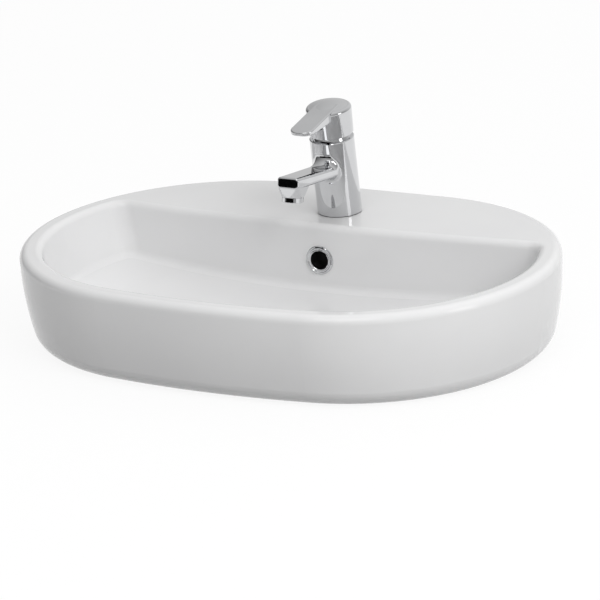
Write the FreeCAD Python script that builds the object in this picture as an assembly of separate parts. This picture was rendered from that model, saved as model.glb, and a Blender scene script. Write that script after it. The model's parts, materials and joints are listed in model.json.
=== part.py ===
import FreeCAD, Part
import math
import os

V = FreeCAD.Vector
X_AXIS = V(1, 0, 0)
Z_AXIS = V(0, 0, 1)

# Basin outline and outer form
basin_width = 600.0
basin_depth = 424.0
basin_height = 103.0
front_corner_r = 206.0
front_bow = 6.0
rim_edge_r = 9.0
wall_arc_r = 331.0
foot_arc_r = 22.7
skirt_t = 10.0
foot_ring_w = 12.0
deck_t = 14.0

# Bowl
rim_w = 23.5
bowl_slope = 12.0
bowl_depth = 76.0
bowl_wall_t = 9.0
tap_back = 88.5
tap_y = basin_depth - front_corner_r - front_bow - tap_back
deck_front = 51.5
bowl_rear_y = tap_y - deck_front
bowl_rear_r = 2500.0
bowl_rear_slope = 1.5
bowl_corner_r = 18.0
bowl_floor_r = 8.0
bowl_dish_r = 2600.0
bowl_edge_r = 8.0

# Overflow
overflow_drop = 39.5
overflow_hole_r = 12.0
overflow_ring_r = 16.0
overflow_flange_t = 2.2
overflow_sleeve_wall = 1.4
overflow_sleeve_len = 14.0
overflow_clear = 0.15
duct_gap = 10.0
duct_w = 34.0
duct_wall = 6.0
duct_h = 9.0

# Waste
drain_ahead = 122.0
drain_y = bowl_rear_y - drain_ahead
drain_hole_r = 23.0
drain_boss_r = 42.0
drain_boss_z = 2.0
waste_r = 20.95
waste_bore_r = 18.0
waste_flange_r = 32.0
waste_flange_t = 2.4
waste_seal_t = 1.6
waste_recess_clear = 1.2
waste_len = 74.0
waste_slot_w = 12.0
lower_seal_r = 34.0
lower_seal_t = 5.0
slip_washer_t = 1.5
backnut_r = 30.0
backnut_t = 8.0
thread_clear = 0.1
spider_t = 5.0
spider_arm_w = 5.0
spider_drop = 40.0
barrel_r = 8.0
barrel_below = 14.0
barrel_above = 6.0
spindle_r = 4.0
slide_clear = 0.05
plug_r = 31.0
plug_t = 5.0
plug_dome = 3.0
plug_edge_r = 2.0
plug_boss_len = 9.0
plug_socket = 1.0
plug_seal_t = 2.0
plug_travel = 8.0

# Tap body
tap_lean = 6.0
tap_hole_r = 17.5
gasket_t = 1.0
body_r = 24.3
body_top = 88.5
spigot_r = 16.0
spigot_len = 6.0
spout_reach = 102.3
nose_front = 115.9
nose_tilt = 12.0
nose_w = 25.5
nose_top = 72.2
nose_low = 59.3
neck_low = 47.4
aerator_r = 11.7
aerator_low = 41.9
spout_root = 8.0
spout_root_w = 31.0
spout_root_low = 45.5
spout_root_top = 56.8
spout_root_r = 11.0
nose_edge_r = 2.0
spout_corner_r = 4.0
spout_bore_r = 3.2
spout_bore_start = 50.5
outlet_fwd = 10.0
port_r = 3.4

# Fixing below the deck
stud_r = 4.0
stud_back = 10.5
stud_up = 8.0
stud_down = 62.0
clamp_r = 25.0
clamp_slot_w = 27.0
clamp_slot_back = 2.5
clamp_gasket_t = 2.0
clamp_plate_t = 2.5
nut_flats = 13.0
nut_len = 14.0
inlet_r = 4.5
inlet_len = 12.0
inlet_x = 7.5
inlet_fwd = 3.0
feed_r = 3.0

# Cartridge, heights along the leaning axis
chamber_r = 17.6
chamber_floor = 56.0
seal_t = 1.0
base_t = 3.0
disc_t = 4.0
fixed_disc_r = 14.4
moving_disc_r = 10.4
disc_gap = 0.05
driver_t = 4.5
driver_gap = 0.4
housing_r = 17.4
housing_in_r = 14.8
housing_top = 80.0
lip_t = 3.0
lip_r = 13.0
carrier_top = 86.0
run_clear = 0.05
pivot_h = 82.0
pin_r = 2.0
stem_w = 8.0
stem_foot_w = 5.0
ball_r = 3.0
ball_drop = 10.8
ball_clear = 0.25
stem_top = 116.0
slot_clear = 0.15
slot_reach = 7.5
rib_x = 8.0
rib_w = 2.0
rib_len = 8.0
rib_h = 2.0
lift_angle = 20.0
nut_in_r = 14.2
nut_h = 6.5
dome_r = 22.0
dome_t = 2.0
dome_mouth_r = 13.0

# Lever handle
handle_low = 93.6
handle_low_r = 24.4
handle_r = 25.0
handle_shoulder = 120.6
handle_round_h = 3.6
handle_round_w = 4.0
handle_top = 126.7
handle_wall = 3.3
boss_r = 9.0
boss_low = 104.5
cavity_top = 115.0
socket_clear = 0.1
relief_back = 8.0
tongue_w = 27.0
tongue_end = 72.0
tongue_top_root = 126.3
tongue_top_end = 121.4
tongue_low_root = 114.0
tongue_low_end = 117.2
tongue_tip_r = 11.0
tongue_edge_r = 1.5
grub_r = 2.5
grub_h = 108.5
cover_r = 3.5
cover_t = 2.0

# Aerator
aerator_thread_r = 10.5
aerator_thread_len = 7.0
aerator_bore_r = 8.6
aerator_seat = 2.0
aerator_cell = 3.2
aerator_gasket_t = 2.0


def cylinder(r, low, high, x=0.0, y=0.0):
    return Part.makeCylinder(r, high - low, V(x, y, low))


def ring(outer, inner, low, high, x=0.0, y=0.0):
    return cylinder(outer, low, high, x, y).cut(cylinder(inner, low - 1, high + 1, x, y))


def box(x0, x1, y0, y1, z0, z1):
    return Part.makeBox(x1 - x0, y1 - y0, z1 - z0, V(x0, y0, z0))


def turned(points):
    """A solid turned about Z from corner points given as (radius, height)."""
    corners = [V(r, 0, h) for r, h in points]
    face = Part.Face(Part.makePolygon(corners + corners[:1]))
    return face.revolve(V(0, 0, 0), Z_AXIS, 360)


def line(a, b):
    return Part.makeLine(V(*a), V(*b))


def arc(a, middle, b):
    return Part.Arc(V(*a), V(*middle), V(*b)).toShape()


def dome_arc(r, low, crown):
    """The arc of a shallow round dome, from its edge up to its crown on the Z axis."""
    rise = crown - low
    big = (r ** 2 + rise ** 2) / (2 * rise)
    middle = crown - big + math.sqrt(big ** 2 - r ** 2 / 4)
    return arc((r, 0, low), (r / 2, 0, middle), (0, 0, crown))


# Sections are drawn with X as minus the distance in from the outline, and Z as the height

def hull_section(inset, top):
    """Edges of the outside from the foot up to the given height, moved in by inset."""
    rim = basin_height - rim_edge_r
    low = foot_arc_r * (1 - rim / wall_arc_r) / (1 - foot_arc_r / wall_arc_r)
    lean = math.asin((rim - low) / wall_arc_r)
    foot_r = foot_arc_r - inset
    wall_r = wall_arc_r - inset
    foot_x = -wall_arc_r + (wall_arc_r - foot_arc_r) * math.cos(lean)
    foot = V(foot_x, 0, foot_arc_r)
    wall = V(-wall_arc_r, 0, rim)

    def on(centre, r, angle):
        return centre + V(r * math.cos(angle), 0, -r * math.sin(angle))

    edges = [Part.Arc(on(foot, foot_r, math.pi / 2), on(foot, foot_r, (math.pi / 2 + lean) / 2),
                      on(foot, foot_r, lean)).toShape()]
    end = 0.0 if top > rim else math.asin((rim - top) / wall_r)
    edges.append(Part.Arc(on(wall, wall_r, lean), on(wall, wall_r, (lean + end) / 2),
                          on(wall, wall_r, end)).toShape())
    if top > rim:
        half = rim_edge_r * math.sqrt(0.5)
        edges.append(arc((0, 0, rim), (half - rim_edge_r, 0, rim + half), (-rim_edge_r, 0, basin_height)))
    return edges


def bowl_section(grow):
    """The sloping wall of the bowl, from under its floor to above the rim."""
    low = basin_height - bowl_depth - 30
    high = basin_height + 10
    slope = math.tan(math.radians(bowl_slope))
    inset = rim_w - grow / math.cos(math.radians(bowl_slope))
    bottom = (-inset - slope * (basin_height - low), 0, low)
    top = (-inset - slope * (basin_height - high), 0, high)
    return [line(bottom, top)]


def section_face(edges, outline_r, reach):
    """Close a section at the given distance in, and place it at its outline radius."""
    low = edges[0].Vertexes[0].Point
    high = edges[-1].Vertexes[-1].Point
    inner_low = V(-reach, 0, low.z)
    inner_high = V(-reach, 0, high.z)
    closing = [Part.makeLine(high, inner_high), Part.makeLine(inner_high, inner_low),
               Part.makeLine(inner_low, low)]
    face = Part.Face(Part.Wire(edges + closing))
    face.translate(V(outline_r, 0, 0))
    return face


def sector(edges, outline_r, reach, x, y, start, sweep):
    solid = section_face(edges, outline_r, reach).revolve(V(0, 0, 0), Z_AXIS, sweep)
    solid.rotate(V(0, 0, 0), Z_AXIS, start)
    solid.translate(V(x, y, 0))
    return solid


def around_outline(edges):
    """Carry a section round the basin's outline: straight back, round ends and bowed front."""
    half_w = basin_width / 2
    front_d = front_corner_r + front_bow
    rear_r = basin_depth - front_d
    rear_x = half_w - rear_r
    front_x = half_w - front_corner_r
    front_r = (front_x ** 2 + front_d ** 2 - front_corner_r ** 2) / (2 * front_bow)
    joint = math.degrees(math.atan2(front_r - front_d, front_x))
    back = section_face(edges, rear_r, rear_r)
    back.rotate(V(0, 0, 0), Z_AXIS, 90)
    back.translate(V(-rear_x, 0, 0))
    low = edges[0].Vertexes[0].Point.z
    high = edges[-1].Vertexes[-1].Point.z
    pieces = [
        sector(edges, rear_r, rear_r, rear_x, 0, 0, 90),
        sector(edges, rear_r, rear_r, -rear_x, 0, 90, 90),
        sector(edges, front_corner_r, front_corner_r, -front_x, 0, 180, joint),
        sector(edges, front_corner_r, front_corner_r, front_x, 0, -joint, joint),
        sector(edges, front_r, front_corner_r, 0, front_r - front_d, joint - 180, 180 - 2 * joint),
        box(-front_x, front_x, -3 * front_bow, 3 * front_bow, low, high),
    ]
    return back.extrude(V(2 * rear_x, 0, 0)).multiFuse(pieces).removeSplitter()


def outline_prism(inset, low, high):
    return around_outline([line((-inset, 0, low), (-inset, 0, high))])


def bowl_form(grow):
    """The bowl's hollow, or with grow the outside of its wall."""
    walls = around_outline(bowl_section(grow))
    slope = math.tan(math.radians(bowl_rear_slope))
    rear_y = bowl_rear_y + grow
    high_r = bowl_rear_r - 10 * slope
    low_r = bowl_rear_r + (bowl_depth + 30) * slope
    low = basin_height - bowl_depth - 30
    rear = Part.makeCone(low_r, high_r, bowl_depth + 40, V(0, rear_y + bowl_rear_r, low))
    floor_z = basin_height - bowl_depth - grow
    dish = Part.makeSphere(bowl_dish_r, V(0, drain_y, floor_z + bowl_dish_r))
    return walls.cut(rear).common(dish)


def upright_edges(shape):
    """Edges that climb from the bowl's floor to its top at the two rear corners."""
    tall = []
    for edge in shape.Edges:
        size = edge.BoundBox
        if size.ZLength > bowl_depth / 2 and size.Center.y > 0:
            tall.append(edge)
    return tall


def floor_edges(shape):
    limit = basin_height - bowl_depth / 2
    return [edge for edge in shape.Edges if edge.BoundBox.ZMax < limit and edge.Length > 1]


def rounded_bowl():
    solid = bowl_form(0.0)
    solid = solid.makeFillet(bowl_corner_r, upright_edges(solid))
    return solid.makeFillet(bowl_floor_r, floor_edges(solid))


def duct_form(grow):
    """The cast overflow duct: down behind the bowl, then forward under its floor to the drain."""
    half = duct_w / 2 + grow
    wall_y = bowl_rear_y + bowl_wall_t
    low = drain_boss_z + duct_wall
    top = basin_height - overflow_drop + overflow_hole_r + 4
    down = box(-half, half, wall_y - 4, wall_y + duct_gap + grow, low - grow, top + grow)
    along = box(-half, half, drain_y, wall_y + duct_gap + grow, low - grow, low + duct_h + grow)
    return down.fuse(along)


def basin_bowl():
    outer = around_outline(hull_section(0.0, basin_height))
    under = basin_height - deck_t
    hollow = around_outline(hull_section(skirt_t, under))
    foot_in = -hull_section(0.0, basin_height)[0].Vertexes[0].Point.x + foot_ring_w
    hollow = hollow.fuse(outline_prism(foot_in, -1, skirt_t + 1))
    boss = cylinder(drain_boss_r, drain_boss_z, basin_height - bowl_depth + 2, 0, drain_y)
    bowl_outside = bowl_form(bowl_wall_t)
    hollow = hollow.cut(bowl_outside).cut(duct_form(duct_wall)).cut(boss)
    body = outer.cut(hollow).cut(rounded_bowl())
    body = body.makeFillet(bowl_edge_r, mouth_edges(body))
    body = body.cut(duct_form(0.0).cut(bowl_outside))
    hole = on_rear_wall(cylinder(overflow_hole_r, -bowl_wall_t - duct_gap / 2, bowl_depth / 2))
    floor_z = basin_height - bowl_depth
    recess_low = floor_z - waste_flange_t - waste_seal_t
    recess = cylinder(waste_flange_r + waste_recess_clear, recess_low, floor_z + 10, 0, drain_y)
    drain = cylinder(drain_hole_r, -10, floor_z + 10, 0, drain_y)
    tap_hole = cylinder(tap_hole_r, under - 5, basin_height + 5, 0, tap_y)
    return body.cut(hole).cut(recess).cut(drain).cut(tap_hole).Solids[0]


def on_rear_wall(shape):
    """Stand a piece that was drawn about Z on the bowl's rear wall, at the overflow."""
    wall_y = bowl_rear_y - overflow_drop * math.tan(math.radians(bowl_rear_slope))
    shape = shape.copy()
    shape.rotate(V(0, 0, 0), X_AXIS, 90 - bowl_rear_slope)
    shape.translate(V(0, wall_y, basin_height - overflow_drop))
    return shape


def mouth_edges(shape):
    """Edges where the bowl meets the rim and the deck."""
    found = []
    for edge in shape.Edges:
        size = edge.BoundBox
        inside = size.XMax < basin_width / 2 - rim_w + 1 and size.XMin > rim_w - 1 - basin_width / 2
        if size.ZMin > basin_height - 0.01 and inside and size.YMin > rim_w - 1 - front_corner_r - front_bow:
            if size.YMax < bowl_rear_y + 40:
                found.append(edge)
    return found


def overflow_ring():
    outer = overflow_hole_r - overflow_clear
    inner = outer - overflow_sleeve_wall
    t = overflow_flange_t
    lip = overflow_ring_r
    points = [(inner, -overflow_sleeve_len), (outer, -overflow_sleeve_len), (outer, 0), (lip, 0),
              (lip, 0.5 * t), (lip - 0.8, 0.9 * t), (lip - 1.8, t), (lip - 2.8, 0.55 * t),
              (outer + 0.4, 0.55 * t), (outer - 0.2, 0.9 * t), (outer - 0.8, t), (inner, 0.8 * t)]
    return on_rear_wall(turned(points))


# Waste, drawn about Z at the drain

floor_z = basin_height - bowl_depth
flange_low = floor_z - waste_flange_t
spider_top = floor_z - spider_drop
spider_low = spider_top - spider_t
waste_low = floor_z - waste_len
seal_low = drain_boss_z - lower_seal_t
washer_low = seal_low - slip_washer_t
backnut_low = washer_low - backnut_t


def at_drain(shape):
    return shape.translated(V(0, drain_y, 0))


def waste_body():
    tail = backnut_low - 1.5
    points = [(waste_bore_r, waste_low), (waste_r - 1, waste_low), (waste_r, waste_low + 1),
              (waste_r, tail - 1.5), (waste_r - 0.8, tail - 1.5), (waste_r - 0.8, tail), (waste_r, tail),
              (waste_r, flange_low), (waste_flange_r, flange_low), (waste_flange_r, floor_z - 0.8),
              (waste_flange_r - 0.8, floor_z), (waste_bore_r + 3, floor_z), (waste_bore_r, floor_z - 4)]
    tube = turned(points)
    spider = cylinder(barrel_r + 3, spider_low, spider_top)
    arm = box(-waste_bore_r - 1, waste_bore_r + 1, -spider_arm_w / 2, spider_arm_w / 2, spider_low, spider_top)
    for angle in (30, 90, 150):
        turned_arm = arm.copy()
        turned_arm.rotate(V(0, 0, 0), Z_AXIS, angle)
        spider = spider.fuse(turned_arm)
    body = tube.fuse(spider).removeSplitter().cut(cylinder(barrel_r, spider_low - 1, spider_top + 1))
    half = waste_slot_w / 2
    slot_low = drain_boss_z + duct_wall + 1
    slot_high = slot_low + duct_h - 2
    body = body.cut(box(-half, half, -waste_r - 5, waste_r + 5, slot_low, slot_high))
    return at_drain(body.cut(box(-waste_r - 5, waste_r + 5, -half, half, slot_low, slot_high)))


def waste_flange_seal():
    low = flange_low - waste_seal_t
    return at_drain(ring(waste_flange_r - 1.5, drain_hole_r + 0.5, low, flange_low))


def waste_lower_seal():
    inner = waste_r + thread_clear
    points = [(inner, seal_low), (lower_seal_r - 1, seal_low), (lower_seal_r, seal_low + 2),
              (lower_seal_r, drain_boss_z), (inner, drain_boss_z)]
    return at_drain(turned(points))


def waste_slip_washer():
    return at_drain(ring(lower_seal_r - 1, waste_r + thread_clear, washer_low, seal_low))


def waste_backnut():
    nut = cylinder(backnut_r, backnut_low, washer_low)
    notch = cylinder(6, backnut_low - 1, washer_low - 2, backnut_r + 2)
    for step in range(8):
        cutter = notch.copy()
        cutter.rotate(V(0, 0, 0), Z_AXIS, 45 * step)
        nut = nut.cut(cutter)
    return at_drain(nut.cut(cylinder(waste_r + thread_clear, backnut_low - 1, washer_low + 1)))


def click_barrel():
    top = spider_top + barrel_above
    low = spider_low - barrel_below
    body = cylinder(barrel_r, low, top).fuse(cylinder(barrel_r + 2, spider_top, spider_top + 3))
    return at_drain(body.removeSplitter().cut(cylinder(spindle_r + slide_clear, low + 2, top + 1)))


plug_low = floor_z + plug_seal_t
plug_boss_low = plug_low - plug_boss_len


def plug_spindle():
    low = spider_low - barrel_below + 3.5
    return at_drain(cylinder(spindle_r, low, plug_low + plug_socket))


def plug_cap():
    edge = plug_low + plug_t
    crown = edge + plug_dome
    e = plug_edge_r
    k = e * (1 - math.sqrt(0.5))
    section = [line((0, 0, plug_low), (plug_r, 0, plug_low)),
               line((plug_r, 0, plug_low), (plug_r, 0, edge - e)),
               arc((plug_r, 0, edge - e), (plug_r - k, 0, edge - k), (plug_r - e, 0, edge)),
               dome_arc(plug_r - e, edge, crown),
               line((0, 0, crown), (0, 0, plug_low))]
    cap = Part.Face(Part.Wire(section)).revolve(V(0, 0, 0), Z_AXIS, 360)
    cap = cap.fuse(cylinder(spindle_r + 3, plug_boss_low, plug_low)).removeSplitter()
    return at_drain(cap.cut(cylinder(spindle_r, plug_boss_low - 1, plug_low + plug_socket)))


def plug_seal():
    return at_drain(ring(plug_r - 4, waste_bore_r + 5, floor_z, plug_low))


# Tap, drawn about its base centre on the deck with the front towards minus Y

def on_deck(shape):
    return shape.translated(V(0, tap_y, basin_height))


def leaning(shape):
    """Tip a piece that was drawn about the tap's own axis, and put it on the deck."""
    shape = shape.copy()
    shape.rotate(V(0, 0, 0), X_AXIS, tap_lean)
    return on_deck(shape)


def rounded_rect(width, low, high, y, r):
    a = width / 2
    k = r * (1 - math.sqrt(0.5))
    return Part.Wire([
        line((r - a, y, low), (a - r, y, low)),
        arc((a - r, y, low), (a - k, y, low + k), (a, y, low + r)),
        line((a, y, low + r), (a, y, high - r)),
        arc((a, y, high - r), (a - k, y, high - k), (a - r, y, high)),
        line((a - r, y, high), (r - a, y, high)),
        arc((r - a, y, high), (k - a, y, high - k), (-a, y, high - r)),
        line((-a, y, high - r), (-a, y, low + r)),
        arc((-a, y, low + r), (k - a, y, low + k), (r - a, y, low)),
    ])


def tap_column():
    points = [(0, -body_r), (body_r, -body_r), (body_r, body_top - 0.8), (body_r - 0.8, body_top), (0, body_top)]
    column = turned(points)
    column.rotate(V(0, 0, 0), X_AXIS, tap_lean)
    wide = 3 * body_r
    return column.common(box(-wide, wide, -wide, wide, gasket_t, 2 * body_top))


def spout_bar():
    root = rounded_rect(spout_root_w, spout_root_low, spout_root_top, -spout_root, spout_corner_r)
    nose = rounded_rect(nose_w, nose_low, nose_top, -nose_front, spout_corner_r)
    nose.rotate(V(0, -nose_front, nose_low), X_AXIS, -nose_tilt)
    bar = Part.makeLoft([root, nose], True, True)
    end = (nose_top - nose_low) * math.sin(math.radians(nose_tilt)) - nose_front
    front = [edge for edge in bar.Edges if edge.BoundBox.YMax < end + 0.01]
    return bar.makeFillet(nose_edge_r, front)


def tipped(shape):
    """Tip a piece that was drawn about the outlet's axis, and put it under the spout's nose."""
    shape = shape.copy()
    shape.rotate(V(0, 0, nose_low), X_AXIS, -nose_tilt)
    return shape.translated(V(0, -spout_reach, 0))


def flat_rect(half_x, half_y, z):
    corners = [V(-half_x, -half_y, z), V(half_x, -half_y, z), V(half_x, half_y, z), V(-half_x, half_y, z)]
    return Part.makePolygon(corners + corners[:1])


def spout_neck():
    """The outlet's neck, square inside the nose and round where the aerator meets it."""
    ahead = (nose_front - spout_reach) * math.cos(math.radians(nose_tilt)) - 0.1
    lower = flat_rect(aerator_r + 0.1, aerator_r + 0.1, neck_low)
    upper = flat_rect(nose_w / 2 - 0.15, ahead, nose_low)
    block = Part.makeLoft([lower, upper], True, True)
    height = nose_low - neck_low
    cone = Part.makeCone(aerator_r, aerator_r + 0.45 * height, height, V(0, 0, neck_low))
    return tipped(block.common(cone))


def root_edges(shape):
    """Edges where the spout leaves the leaning column."""
    angle = math.radians(tap_lean)
    axis = V(0, -math.sin(angle), math.cos(angle))
    found = []
    for edge in shape.Edges:
        point = edge.valueAt((edge.FirstParameter + edge.LastParameter) / 2)
        away = point.cross(axis).Length
        if abs(away - body_r) < 0.05 and point.y < -spout_root and gasket_t + 5 < point.z < body_top - 8:
            found.append(edge)
    return found


def tap_body():
    body = tap_column().fuse(spout_bar())
    body = body.makeFillet(spout_root_r, root_edges(body))
    body = body.fuse(spout_neck())
    body = body.fuse(cylinder(spigot_r, gasket_t - spigot_len, gasket_t + 1)).removeSplitter()
    chamber = cylinder(chamber_r, chamber_floor, body_top + 5)
    chamber = chamber.fuse(cylinder(port_r, chamber_floor - 5, chamber_floor + 1, 0, -outlet_fwd))
    chamber.rotate(V(0, 0, 0), X_AXIS, tap_lean)
    start = V(0, -outlet_fwd, spout_bore_start)
    run = V(0, -spout_reach, neck_low + aerator_thread_len + aerator_gasket_t + 4) - start
    cuts = [chamber, Part.makeCylinder(spout_bore_r, run.Length, start, run)]
    seat = neck_low + aerator_thread_len + aerator_gasket_t
    cuts.append(tipped(cylinder(aerator_thread_r + thread_clear, neck_low - 1, seat)))
    cuts.append(tipped(cylinder(aerator_bore_r - 1.5, seat - 1, seat + 4)))
    low = gasket_t - spigot_len
    for side in (-1, 1):
        cuts.append(cylinder(inlet_r, low - 1, low + inlet_len, side * inlet_x, -inlet_fwd))
        cuts.append(cylinder(feed_r, low, chamber_floor + 2, side * inlet_x, -inlet_fwd))
    cuts.append(cylinder(stud_r, low - 1, stud_up, 0, stud_back))
    return on_deck(body.cut(cuts).Solids[0])


def tap_base_gasket():
    return on_deck(ring(body_r - 0.8, spigot_r + 0.3, 0, gasket_t))


def fixing_stud():
    return on_deck(cylinder(stud_r, -stud_down, stud_up, 0, stud_back))


def horseshoe(low, high):
    plate = cylinder(clamp_r, low, high)
    half = clamp_slot_w / 2
    plate = plate.cut(box(-half, half, -clamp_r - 1, clamp_slot_back, low - 1, high + 1))
    return on_deck(plate.cut(cylinder(stud_r + 0.3, low - 1, high + 1, 0, stud_back)))


def clamp_gasket():
    return horseshoe(-deck_t - clamp_gasket_t, -deck_t)


def clamp_plate():
    top = -deck_t - clamp_gasket_t
    return horseshoe(top - clamp_plate_t, top)


def hexagon(flats, low, high, x, y):
    r = flats / math.sqrt(3)
    corners = []
    for step in range(7):
        angle = math.radians(60 * step)
        corners.append(V(x + r * math.cos(angle), y + r * math.sin(angle), low))
    return Part.Face(Part.makePolygon(corners)).extrude(V(0, 0, high - low))


def fixing_nut():
    top = -deck_t - clamp_gasket_t - clamp_plate_t
    nut = hexagon(nut_flats, top - nut_len, top, 0, stud_back)
    return on_deck(nut.cut(cylinder(stud_r, top - nut_len - 1, top + 1, 0, stud_back)))


# Cartridge

base_low = chamber_floor + seal_t
fixed_low = base_low + base_t
moving_low = fixed_low + disc_t + disc_gap
driver_low = moving_low + disc_t
driver_top = driver_low + driver_t
carrier_low = driver_top + driver_gap
lip_low = housing_top - lip_t
ball_h = pivot_h - ball_drop


def port_places():
    """Inlet, inlet and outlet of the cartridge, as (x, y) about the leaning axis."""
    rise = chamber_floor * math.tan(math.radians(tap_lean))
    return [(-inlet_x, rise - inlet_fwd), (inlet_x, rise - inlet_fwd), (0, -outlet_fwd + 1)]


def with_ports(shape, r, low, high):
    for x, y in port_places():
        shape = shape.cut(cylinder(r, low, high, x, y))
    return shape


def cartridge_seals():
    rings = [ring(port_r + 1.2, port_r, chamber_floor, base_low, x, y) for x, y in port_places()]
    return leaning(Part.makeCompound(rings))


def cartridge_base():
    return leaning(with_ports(cylinder(housing_r, base_low, fixed_low), feed_r, base_low - 1, fixed_low + 1))


def fixed_disc():
    top = fixed_low + disc_t
    return leaning(with_ports(cylinder(fixed_disc_r, fixed_low, top), feed_r - 0.4, fixed_low - 1, top + 1))


def moving_disc():
    disc = cylinder(moving_disc_r, moving_low, driver_low)
    return leaning(disc.cut(cylinder(moving_disc_r - 4.5, moving_low - 1, moving_low + disc_t / 2)))


def disc_driver():
    body = cylinder(moving_disc_r - 0.4, driver_low, driver_top)
    for side in (-1, 1):
        x = side * rib_x
        body = body.fuse(box(x - rib_w / 2, x + rib_w / 2, -rib_len / 2, rib_len / 2, driver_low, driver_top + rib_h))
    body = body.removeSplitter()
    return leaning(body.cut(cylinder(ball_r + ball_clear, driver_low - 1, driver_top + 1)))


def cartridge_carrier():
    body = cylinder(housing_in_r - 0.4, carrier_low, lip_low - run_clear)
    body = body.fuse(cylinder(lip_r - run_clear, carrier_low, carrier_top)).removeSplitter()
    half = stem_w / 2 + slot_clear
    body = body.cut(box(-half, half, -slot_reach, slot_reach, carrier_low - 1, carrier_top + 1))
    travel = ball_drop * math.radians(lift_angle)
    for side in (-1, 1):
        x = side * rib_x
        wide = rib_w / 2 + slot_clear
        reach = rib_len / 2 + travel + 0.5
        body = body.cut(box(x - wide, x + wide, -reach, reach, carrier_low - 1, driver_top + rib_h + 0.4))
    return leaning(body.cut(pin_bar(pin_r, lip_r + 1)))


def pin_bar(r, half_length):
    return Part.makeCylinder(r, 2 * half_length, V(-half_length, 0, pivot_h), X_AXIS)


def stem_pin():
    return leaning(pin_bar(pin_r, lip_r - run_clear - 1.5))


def lever_stem():
    half = stem_w / 2
    foot = stem_foot_w / 2
    shoulder = pivot_h - 6
    stem = box(-half, half, -half, half, shoulder, stem_top)
    stem = stem.fuse([cylinder(foot, ball_h, shoulder), Part.makeSphere(ball_r, V(0, 0, ball_h))])
    return leaning(stem.removeSplitter().cut(pin_bar(pin_r + run_clear, half + 1)))


def cartridge_housing():
    body = cylinder(housing_r, fixed_low, housing_top)
    body = body.cut(cylinder(housing_in_r, fixed_low - 1, lip_low))
    return leaning(body.cut(cylinder(lip_r, lip_low - 1, housing_top + 1)))


def cartridge_nut():
    top = housing_top + nut_h
    body = ring(chamber_r - thread_clear, nut_in_r, housing_top, top)
    for step in range(6):
        notch = box(nut_in_r - 1, chamber_r + 1, -1.5, 1.5, top - 2.5, top + 1)
        notch.rotate(V(0, 0, 0), Z_AXIS, 60 * step)
        body = body.cut(notch)
    return leaning(body)


def cartridge_dome():
    centre = V(0, 0, pivot_h)
    shell = Part.makeSphere(dome_r, centre).cut(Part.makeSphere(dome_r - dome_t, centre))
    shell = shell.common(cylinder(dome_r + 1, body_top, pivot_h + dome_r + 1))
    neck = ring(chamber_r - thread_clear, chamber_r - 1.6, housing_top + nut_h, body_top + 1.5)
    seat_r = math.sqrt((dome_r - 0.5 * dome_t) ** 2 - (body_top - pivot_h) ** 2)
    seat = ring(seat_r, chamber_r - 1.6, body_top, body_top + 1.5)
    shell = shell.fuse([neck, seat]).removeSplitter()
    return leaning(shell.cut(cylinder(dome_mouth_r, housing_top, pivot_h + dome_r + 1)))


# Lever handle

def tongue():
    side = [(0, tongue_top_root), (tongue_end, tongue_top_end), (tongue_end, tongue_low_end),
            (handle_r - 2, tongue_low_root), (0, tongue_low_root)]
    corners = [V(0, -d, h) for d, h in side]
    face = Part.Face(Part.makePolygon(corners + corners[:1]))
    half = tongue_w / 2
    face.translate(V(-half, 0, 0))
    blade = face.extrude(V(tongue_w, 0, 0))
    tip = []
    for edge in blade.Edges:
        size = edge.BoundBox
        if size.YMax < 0.01 - tongue_end and size.ZLength > 1:
            tip.append(edge)
    blade = blade.makeFillet(tongue_tip_r, tip)
    soft = []
    for edge in blade.Edges:
        size = edge.BoundBox
        if size.YMin < -handle_r and size.ZLength < tongue_top_root - tongue_top_end + 0.01:
            if abs(size.YLength) > 1 and (size.XMax > half - 0.01 or size.XMin < 0.01 - half):
                soft.append(edge)
            elif size.YMax < 1 - tongue_end:
                soft.append(edge)
    return blade.makeFillet(tongue_edge_r, soft)


def handle_cap():
    mid = handle_r - handle_round_w
    edge = handle_shoulder + handle_round_h
    bulge = math.sqrt(0.5)
    section = [
        line((0, 0, handle_low), (handle_low_r, 0, handle_low)),
        line((handle_low_r, 0, handle_low), (handle_r, 0, handle_shoulder)),
        arc((handle_r, 0, handle_shoulder), (mid + bulge * handle_round_w, 0, handle_shoulder + bulge * handle_round_h),
            (mid, 0, edge)),
        dome_arc(mid, edge, handle_top),
        line((0, 0, handle_top), (0, 0, handle_low)),
    ]
    return Part.Face(Part.Wire(section)).revolve(V(0, 0, 0), Z_AXIS, 360)


def front_bar(r, near, far, h):
    return Part.makeCylinder(r, far - near, V(0, -near, h), V(0, -1, 0))


def lever_handle():
    body = handle_cap().fuse(tongue()).removeSplitter()
    inner_r = handle_low_r - handle_wall
    cavity = cylinder(inner_r, handle_low - 1, cavity_top).cut(cylinder(boss_r, boss_low, cavity_top + 1))
    relief = box(-2 * handle_r, 2 * handle_r, 0, 3 * handle_r, -2 * handle_r, 0)
    relief.rotate(V(0, 0, 0), X_AXIS, lift_angle)
    relief.translate(V(0, relief_back, handle_low))
    half = stem_w / 2 + socket_clear
    socket = box(-half, half, -half, half, boss_low - 1, stem_top + 0.3)
    cuts = [cavity, relief, socket, front_bar(grub_r, 0, boss_r + 1, grub_h),
            front_bar(cover_r, boss_r + 2, handle_r + 2, grub_h)]
    return leaning(body.cut(cuts).Solids[0])


def grub_screw():
    screw = front_bar(grub_r, stem_w / 2, boss_r, grub_h)
    hex_key = hexagon(grub_r, 0, 2, 0, 0)
    hex_key.rotate(V(0, 0, 0), X_AXIS, 90)
    hex_key.translate(V(0, 2 - boss_r, grub_h))
    return leaning(screw.cut(hex_key))


def screw_cover():
    face = handle_low_r - 0.2
    return leaning(front_bar(cover_r - slide_clear, face - cover_t, face, grub_h))


# Aerator, drawn about Z at the outlet

def at_outlet(shape):
    return on_deck(tipped(shape))


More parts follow.
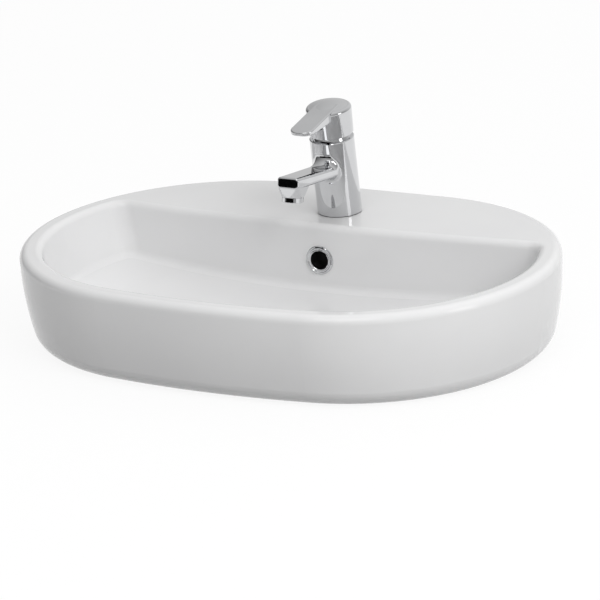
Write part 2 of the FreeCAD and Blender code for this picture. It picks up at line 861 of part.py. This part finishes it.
def aerator_housing():
    top = neck_low + aerator_thread_len
    points = [(aerator_bore_r - 1, aerator_low), (aerator_r - 0.6, aerator_low), (aerator_r, aerator_low + 0.6),
              (aerator_r, neck_low - 0.3), (aerator_r - 0.3, neck_low), (aerator_thread_r, neck_low),
              (aerator_thread_r, top), (aerator_bore_r, top), (aerator_bore_r, aerator_low + aerator_seat),
              (aerator_bore_r - 1, aerator_low + aerator_seat)]
    return at_outlet(turned(points))


def aerator_insert():
    low = aerator_low + aerator_seat
    top = neck_low + aerator_thread_len
    body = cylinder(aerator_bore_r - thread_clear, low, top)
    holes = []
    for row in range(-2, 3):
        for place in range(5 - abs(row)):
            x = (place - (4 - abs(row)) / 2) * aerator_cell
            y = row * aerator_cell * math.sqrt(0.75)
            holes.append(hexagon(0.8 * aerator_cell, low - 1, low + 4, x, y))
            holes.append(cylinder(0.5, low, top + 1, x, y))
    return at_outlet(body.cut(holes))


def aerator_gasket():
    low = neck_low + aerator_thread_len
    return at_outlet(ring(aerator_thread_r - 0.2, aerator_bore_r - 0.6, low, low + aerator_gasket_t))


makers = [
    basin_bowl, overflow_ring, waste_body, waste_flange_seal, waste_lower_seal, waste_slip_washer,
    waste_backnut, click_barrel, plug_spindle, plug_cap, plug_seal, tap_body, tap_base_gasket,
    fixing_stud, clamp_gasket, clamp_plate, fixing_nut, cartridge_seals, cartridge_base, fixed_disc,
    moving_disc, disc_driver, cartridge_carrier, stem_pin, lever_stem, cartridge_housing,
    cartridge_nut, cartridge_dome, lever_handle, grub_screw, screw_cover, aerator_housing,
    aerator_insert, aerator_gasket,
]
os.makedirs("parts", exist_ok=True)
for maker in makers:
    shape = maker()
    shape.exportStep("parts/" + maker.__name__ + ".step")
    print(maker.__name__, len(shape.Solids), shape.isValid(), round(shape.Volume, 1))
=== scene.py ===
import json
import math

import bmesh
import bpy
from mathutils import Matrix, Vector

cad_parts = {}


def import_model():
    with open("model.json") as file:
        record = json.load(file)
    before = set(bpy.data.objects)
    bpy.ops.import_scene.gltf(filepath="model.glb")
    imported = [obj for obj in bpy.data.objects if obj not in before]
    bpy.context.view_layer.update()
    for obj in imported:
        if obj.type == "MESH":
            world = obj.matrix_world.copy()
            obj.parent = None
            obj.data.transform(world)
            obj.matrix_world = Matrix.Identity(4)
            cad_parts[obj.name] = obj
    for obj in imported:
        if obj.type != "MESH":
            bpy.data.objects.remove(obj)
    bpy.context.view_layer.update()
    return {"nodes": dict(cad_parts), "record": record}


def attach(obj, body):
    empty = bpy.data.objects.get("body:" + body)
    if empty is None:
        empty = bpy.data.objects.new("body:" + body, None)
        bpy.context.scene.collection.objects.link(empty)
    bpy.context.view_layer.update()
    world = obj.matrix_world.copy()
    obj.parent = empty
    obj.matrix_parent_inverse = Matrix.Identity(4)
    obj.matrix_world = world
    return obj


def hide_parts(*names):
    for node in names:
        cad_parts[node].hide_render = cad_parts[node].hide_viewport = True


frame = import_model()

scene = bpy.context.scene
scene.view_settings.view_transform = "Standard"

# Sizes repeated from the part, in metres
RIM_Z = 0.103
TAP_Y = 0.1235
DRAIN_Y = -0.050
STUD_R = 0.004
STUD_BACK = 0.0105
STUD_DOWN = 0.062
STUD_UP = 0.008
STUD_Y = TAP_Y + STUD_BACK
STUD_LOW = RIM_Z - STUD_DOWN
STUD_HIGH = RIM_Z + STUD_UP
WASTE_R = 0.02095
WASTE_LOW = -0.047

# Threads, which only the scene has, in metres
STUD_PITCH = 0.00125
STUD_THREAD_DEPTH = 0.0006
WASTE_PITCH = 0.00231
WASTE_THREAD_DEPTH = 0.0012
WASTE_THREAD_TOP = 0.0
WASTE_SKIN = 0.0004

# Mesh detail of the stud's thread
STUD_STEPS = 32
ROWS_PER_PITCH = 4

# Where the ceramic has no glaze, in metres: the foot's face, and a box around the overflow duct, whose
# inside is also coloured near-black as painted shade
FOOT_TOP = 0.0006
DUCT_HALF_W = 0.0175
DUCT_FRONT = 0.073
DUCT_BACK = 0.092
DUCT_LOW = 0.0075
DUCT_HIGH = 0.0805

# Camera, in degrees, metres, pixels and millimetres
CAMERA_AZIMUTH = 28.757
CAMERA_ELEVATION = 18.697
CAMERA_ROLL = -3.555
CAMERA_DISTANCE = 4.3177
AIM_SIDEWAYS = 0.009857
AIM_Z = 0.0402
CLIP_NEAR = 0.1
CLIP_FAR = 100.0
FOCAL_PIXELS = 4034.08
PICTURE_PIXELS = 600.0
SENSOR_MM = 36.0

# The middle of a noise's range, which is stretched over the range that is asked for
NOISE_LOW = 0.3
NOISE_HIGH = 0.7

# How many times finer a finish's roughness drifts than its colour
ROUGHNESS_GRAIN = 3.1

# Bare clay, and the glaze's waves and pores, with the waves' height in metres
CLAY_ROUGHNESS = 0.8
GLAZE_WAVES = 0.0006
GLAZE_PORES = 0.004

# Levels of the studio's walls and ceiling
SKY_LEFT = 0.06
SKY_RIGHT = 0.36
SKY_FRONT = 0.42
SKY_BACK = 0.80
SKY_TOP = 0.82

# Floor, black card and the height the lamps aim at, in metres, and the share of the floor's white that glows
FLOOR_HALF = 6.0
FLOOR_Z = -0.0004
FLOOR_GLOW = 0.9
CARD_LEFT = -1.6
CARD_RIGHT = 1.1
CARD_Y = -1.5
CARD_TOP = 0.55
LAMP_AIM_Z = 0.08

# Finishes that drift softly between two tones, by material slot
FINISHES = {
    "chromed_brass": dict(name="bright_chrome", dark=(0.62, 0.625, 0.635), light=(0.67, 0.675, 0.685),
                          grain=24.0, smooth=0.025, rough=0.06, fine=260.0, depth=0.0000015, Metallic=1.0),
    "bare_brass": dict(name="bare_brass", dark=(0.62, 0.45, 0.20), light=(0.72, 0.54, 0.26),
                       grain=60.0, smooth=0.22, rough=0.34, fine=900.0, depth=0.00001, Metallic=1.0),
    "steel": dict(name="zinc_steel", dark=(0.52, 0.53, 0.54), light=(0.62, 0.63, 0.63),
                  grain=70.0, smooth=0.25, rough=0.38, fine=1100.0, depth=0.00001, Metallic=1.0),
    "black_rubber": dict(name="black_rubber", dark=(0.012, 0.012, 0.012), light=(0.026, 0.026, 0.027),
                         grain=180.0, smooth=0.55, rough=0.75, fine=1500.0, depth=0.00003, IOR=1.45),
    "white_plastic": dict(name="pale_plastic", dark=(0.70, 0.70, 0.68), light=(0.78, 0.78, 0.76),
                          grain=90.0, smooth=0.32, rough=0.45, fine=1400.0, depth=0.00001, IOR=1.46),
    "grey_plastic": dict(name="dark_plastic", dark=(0.035, 0.035, 0.04), light=(0.06, 0.06, 0.065),
                         grain=120.0, smooth=0.3, rough=0.42, fine=1400.0, depth=0.00001, IOR=1.46),
    "disc_ceramic": dict(name="lapped_ceramic", dark=(0.74, 0.72, 0.67), light=(0.80, 0.78, 0.73),
                         grain=150.0, smooth=0.12, rough=0.2, fine=1600.0, depth=0.000002, IOR=1.7),
}
WASTE_FINISH = dict(name="waste_chrome", dark=(0.60, 0.605, 0.61), light=(0.65, 0.655, 0.66),
                    grain=30.0, smooth=0.05, rough=0.11, fine=300.0, depth=0.000002, Metallic=1.0)


# Camera

def direction(azimuth, elevation):
    """A unit vector away from the basin, from degrees. Azimuth 0 is the front, and 90 the right."""
    a = math.radians(azimuth)
    e = math.radians(elevation)
    return Vector((math.sin(a) * math.cos(e), -math.cos(a) * math.cos(e), math.sin(e)))


def place_camera():
    azimuth = math.radians(CAMERA_AZIMUTH)
    roll = math.radians(CAMERA_ROLL)
    back = direction(CAMERA_AZIMUTH, CAMERA_ELEVATION)
    level = Vector((math.cos(azimuth), math.sin(azimuth), 0.0))
    upright = back.cross(level)
    right = math.cos(roll) * level + math.sin(roll) * upright
    up = math.cos(roll) * upright - math.sin(roll) * level
    eye = AIM_SIDEWAYS * level + Vector((0.0, 0.0, AIM_Z)) + CAMERA_DISTANCE * back
    data = bpy.data.cameras.new("camera")
    data.sensor_width = SENSOR_MM
    data.lens = SENSOR_MM * FOCAL_PIXELS / PICTURE_PIXELS
    data.clip_start = CLIP_NEAR
    data.clip_end = CLIP_FAR
    camera = bpy.data.objects.new("camera", data)
    scene.collection.objects.link(camera)
    camera.matrix_world = Matrix((
        (right.x, up.x, back.x, eye.x),
        (right.y, up.y, back.y, eye.y),
        (right.z, up.z, back.z, eye.z),
        (0.0, 0.0, 0.0, 1.0),
    ))
    scene.camera = camera


# Material nodes

class Tree:
    """Short calls that add nodes to a node tree."""

    def __init__(self, tree):
        self.tree = tree

    def node(self, kind, **settings):
        made = self.tree.nodes.new(kind)
        for key, value in settings.items():
            setattr(made, key, value)
        return made

    def link(self, source, target):
        self.tree.links.new(source, target)

    def math(self, operation, first, second):
        made = self.node("ShaderNodeMath", operation=operation)
        for socket, value in zip(made.inputs, (first, second)):
            if isinstance(value, (int, float)):
                socket.default_value = value
            else:
                self.link(value, socket)
        return made.outputs["Value"]

    def spread(self, source, low, high):
        """Stretch a noise so that it runs from low to high."""
        made = self.node("ShaderNodeMapRange")
        ends = {"From Min": NOISE_LOW, "From Max": NOISE_HIGH, "To Min": low, "To Max": high}
        for key, value in ends.items():
            made.inputs[key].default_value = value
        self.link(source, made.inputs["Value"])
        return made.outputs["Result"]

    def within(self, source, low, high):
        above = self.math("GREATER_THAN", source, low)
        below = self.math("LESS_THAN", source, high)
        return self.math("MULTIPLY", above, below)

    def axes(self, source):
        split = self.node("ShaderNodeSeparateXYZ")
        self.link(source, split.inputs["Vector"])
        return split.outputs["X"], split.outputs["Y"], split.outputs["Z"]


class Surface(Tree):
    """A material with a Principled shader and short calls that add the nodes feeding it."""

    def __init__(self, name):
        self.material = bpy.data.materials.new(name)
        self.material.use_nodes = True
        super().__init__(self.material.node_tree)
        self.shader = self.tree.nodes["Principled BSDF"]
        self.place = self.node("ShaderNodeTexCoord").outputs["Object"]

    def set(self, **values):
        for key, value in values.items():
            self.shader.inputs[key.replace("_", " ")].default_value = value

    def noise(self, scale, detail=3.0):
        made = self.node("ShaderNodeTexNoise")
        made.inputs["Scale"].default_value = scale
        made.inputs["Detail"].default_value = detail
        self.link(self.place, made.inputs["Vector"])
        return made.outputs["Fac"]

    def mix(self, factor, first, second):
        made = self.node("ShaderNodeMix", data_type="RGBA")
        self.link(factor, made.inputs["Factor"])
        for key, value in (("A", first), ("B", second)):
            socket = [s for s in made.inputs if s.name == key and s.type == "RGBA"][0]
            if isinstance(value, tuple):
                socket.default_value = (*value, 1.0)
            else:
                self.link(value, socket)
        return [s for s in made.outputs if s.type == "RGBA"][0]

    def two_tone(self, scale, dark, light):
        return self.mix(self.spread(self.noise(scale), 0.0, 1.0), dark, light)

    def bump(self, height, distance):
        made = self.node("ShaderNodeBump")
        made.inputs["Strength"].default_value = 1.0
        made.inputs["Distance"].default_value = distance
        self.link(height, made.inputs["Height"])
        self.link(made.outputs["Normal"], self.shader.inputs["Normal"])

    def colour(self, source):
        self.link(source, self.shader.inputs["Base Color"])

    def roughness(self, source):
        self.link(source, self.shader.inputs["Roughness"])


def varied(name, dark, light, grain, smooth, rough, fine, depth, **values):
    """A material whose colour and roughness drift softly, with a fine surface texture."""
    surface = Surface(name)
    surface.set(**values)
    surface.colour(surface.two_tone(grain, dark, light))
    surface.roughness(surface.spread(surface.noise(grain * ROUGHNESS_GRAIN, detail=4.0), smooth, rough))
    surface.bump(surface.noise(fine, detail=2.0), depth)
    return surface


def glaze():
    """White glaze, with bare clay on the foot ring, and rough bare clay inside the overflow duct whose
    colour is painted near-black as painted shade of the hollow.
    """
    surface = Surface("white_glaze")
    surface.set(IOR=1.5)
    x, y, z = surface.axes(surface.place)
    white = surface.two_tone(7.0, (0.745, 0.745, 0.75), (0.77, 0.77, 0.772))
    clay = surface.two_tone(420.0, (0.62, 0.59, 0.54), (0.72, 0.69, 0.64))
    foot = surface.math("LESS_THAN", z, FOOT_TOP)
    across = surface.within(x, -DUCT_HALF_W, DUCT_HALF_W)
    duct = surface.math("MULTIPLY", across, surface.within(y, DUCT_FRONT, DUCT_BACK))
    duct = surface.math("MULTIPLY", duct, surface.within(z, DUCT_LOW, DUCT_HIGH))
    shade = surface.mix(foot, white, clay)
    # Painted shade: inside the overflow duct the colour is near-black, standing in for the shade of the
    # hollow rather than the clay's own colour
    surface.colour(surface.mix(duct, shade, (0.015, 0.014, 0.013)))
    polish = surface.spread(surface.noise(38.0, detail=4.0), 0.05, 0.09)
    bare = surface.math("MULTIPLY", surface.math("MAXIMUM", foot, duct), CLAY_ROUGHNESS)
    surface.roughness(surface.math("MAXIMUM", polish, bare))
    waves = surface.noise(11.0, detail=1.0)
    pores = surface.math("MULTIPLY", surface.noise(900.0, detail=1.0), GLAZE_PORES)
    surface.bump(surface.math("ADD", waves, pores), GLAZE_WAVES)
    return surface.material


def threaded_chrome():
    """Chrome with a screw thread on the outside of the waste's tail."""
    surface = varied(**WASTE_FINISH)
    x, y, z = surface.axes(surface.place)
    ahead = surface.math("SUBTRACT", y, DRAIN_Y)
    angle = surface.math("ARCTAN2", ahead, x)
    turn = surface.math("MULTIPLY", angle, 1.0 / (2.0 * math.pi))
    climb = surface.math("ADD", surface.math("MULTIPLY", z, 1.0 / WASTE_PITCH), turn)
    ridge = surface.math("PINGPONG", climb, 0.5)
    across = surface.math("MULTIPLY", x, x)
    along = surface.math("MULTIPLY", ahead, ahead)
    span = surface.math("POWER", surface.math("ADD", across, along), 0.5)
    outside = surface.math("GREATER_THAN", span, WASTE_R - WASTE_SKIN)
    tail = surface.math("MULTIPLY", outside, surface.within(z, WASTE_LOW, WASTE_THREAD_TOP))
    surface.bump(surface.math("MULTIPLY", ridge, tail), WASTE_THREAD_DEPTH)
    return surface.material


def dress_nodes():
    """Give every node its material, and return the materials by slot."""
    by_slot = {slot: varied(**finish).material for slot, finish in FINISHES.items()}
    by_slot["white_ceramic"] = glaze()
    dress = {part["node"]: by_slot[part["material_slot"]] for part in frame["record"]["subparts"]}
    dress["waste_body"] = threaded_chrome()
    for name, node in frame["nodes"].items():
        node.data.materials.clear()
        node.data.materials.append(dress[name])
    return by_slot


# Pieces

def mesh_object(name, build, material):
    mesh = bpy.data.meshes.new(name)
    build.to_mesh(mesh)
    build.free()
    mesh.materials.append(material)
    made = bpy.data.objects.new(name, mesh)
    scene.collection.objects.link(made)
    return made


def threaded_stud(material):
    """The fixing stud with its M8 thread, as one helical skin closed by two end faces."""
    build = bmesh.new()
    length = STUD_HIGH - STUD_LOW
    rows = int(length / STUD_PITCH * ROWS_PER_PITCH)
    rings = []
    for row in range(rows + 1):
        height = STUD_LOW + length * row / rows
        end_cut = STUD_THREAD_DEPTH if row in (0, rows) else 0.0
        ring = []
        for step in range(STUD_STEPS):
            turn = step / STUD_STEPS
            phase = (height / STUD_PITCH - turn) % 1.0
            cut = STUD_THREAD_DEPTH * abs(2.0 * phase - 1.0)
            r = STUD_R - max(cut, end_cut)
            angle = 2.0 * math.pi * turn
            ring.append(build.verts.new((r * math.cos(angle), STUD_Y + r * math.sin(angle), height)))
        rings.append(ring)
    for lower, upper in zip(rings, rings[1:]):
        for step in range(STUD_STEPS):
            after = (step + 1) % STUD_STEPS
            build.faces.new((lower[step], lower[after], upper[after], upper[step]))
    build.faces.new(list(reversed(rings[0])))
    build.faces.new(rings[-1])
    piece = mesh_object("stud_thread", build, material)
    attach(piece, "basin")
    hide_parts("fixing_stud")


# Studio

def stage_material():
    """A pale floor that reads as white to the camera and in reflections, and keeps a soft shadow."""
    surface = Surface("stage_white")
    rays = surface.node("ShaderNodeLightPath")
    seen = surface.math("MAXIMUM", rays.outputs["Is Camera Ray"], rays.outputs["Is Glossy Ray"])
    seen = surface.math("MAXIMUM", seen, rays.outputs["Is Transmission Ray"])
    grain = surface.spread(surface.noise(60.0), 0.0, 1.0)
    grey = surface.mix(grain, (0.44, 0.44, 0.44), (0.47, 0.47, 0.47))
    white = surface.mix(grain, (0.94, 0.94, 0.94), (0.96, 0.96, 0.96))
    surface.colour(surface.mix(seen, grey, white))
    surface.set(Roughness=0.9, Specular_IOR_Level=0.0)
    glow = surface.node("ShaderNodeEmission")
    glow.inputs["Strength"].default_value = 1.0
    blend = surface.node("ShaderNodeMixShader")
    surface.link(surface.math("MULTIPLY", seen, FLOOR_GLOW), blend.inputs["Fac"])
    surface.link(surface.shader.outputs["BSDF"], blend.inputs[1])
    surface.link(glow.outputs["Emission"], blend.inputs[2])
    surface.link(blend.outputs["Shader"], surface.tree.nodes["Material Output"].inputs["Surface"])
    return surface.material


def floor():
    build = bmesh.new()
    bmesh.ops.create_grid(build, x_segments=8, y_segments=8, size=FLOOR_HALF)
    plane = mesh_object("worktop", build, stage_material())
    plane.location = (0.0, 0.0, FLOOR_Z)


def dark_card():
    """A black card in front that only reflections show. It gives the chrome its dark reflections."""
    build = bmesh.new()
    low = [(CARD_LEFT, CARD_Y, 0.0), (CARD_RIGHT, CARD_Y, 0.0)]
    high = [(CARD_RIGHT, CARD_Y, CARD_TOP), (CARD_LEFT, CARD_Y, CARD_TOP)]
    build.faces.new([build.verts.new(corner) for corner in low + high])
    surface = Surface("card_black")
    surface.colour(surface.two_tone(90.0, (0.004, 0.004, 0.004), (0.008, 0.008, 0.008)))
    surface.set(Roughness=0.9, Specular_IOR_Level=0.0)
    card = mesh_object("dark_card", build, surface.material)
    card.visible_camera = False
    card.visible_diffuse = False
    card.visible_transmission = False
    card.visible_shadow = False


def world():
    """Grey studio walls and ceiling, each side with its own level."""
    made = bpy.data.worlds.new("studio")
    made.use_nodes = True
    scene.world = made
    sky = Tree(made.node_tree)
    x, y, z = sky.axes(sky.node("ShaderNodeTexCoord").outputs["Generated"])
    sides = (
        (x, -1.0, SKY_LEFT),
        (x, 1.0, SKY_RIGHT),
        (y, -1.0, SKY_FRONT),
        (y, 1.0, SKY_BACK),
        (z, 1.0, SKY_TOP),
    )
    level = 0.0
    for axis, sign, share in sides:
        side = sky.math("MAXIMUM", sky.math("MULTIPLY", axis, sign), 0.0)
        lobe = sky.math("MULTIPLY", sky.math("MULTIPLY", side, side), share)
        level = sky.math("ADD", lobe, level)
    back = sky.tree.nodes["Background"]
    back.inputs["Color"].default_value = (1.0, 1.0, 1.0, 1.0)
    sky.link(level, back.inputs["Strength"])


def softbox(name, azimuth, elevation, distance, width, height, radiance, mirrored=True):
    """A flat lamp that looks at the basin. Reflections show it if it is mirrored."""
    data = bpy.data.lights.new(name, "AREA")
    data.shape = "RECTANGLE"
    data.size = width
    data.size_y = height
    data.energy = radiance * math.pi * width * height
    lamp = bpy.data.objects.new(name, data)
    away = direction(azimuth, elevation)
    lamp.location = Vector((0.0, 0.0, LAMP_AIM_Z)) + distance * away
    lamp.rotation_euler = away.to_track_quat("Z", "Y").to_euler()
    lamp.visible_glossy = mirrored
    scene.collection.objects.link(lamp)


place_camera()
slots = dress_nodes()
threaded_stud(slots["steel"])
floor()
dark_card()
world()
softbox("key_right", azimuth=83.0, elevation=20.0, distance=3.2, width=0.9, height=1.3, radiance=2.7)
softbox("front_high", azimuth=12.0, elevation=54.0, distance=2.4, width=1.2, height=1.1, radiance=1.6)
softbox("fill_right", azimuth=60.0, elevation=36.0, distance=4.0, width=2.2, height=2.0, radiance=4.7,
        mirrored=False)
softbox("fill_rear", azimuth=200.0, elevation=50.0, distance=3.0, width=1.6, height=1.5, radiance=0.9,
        mirrored=False)
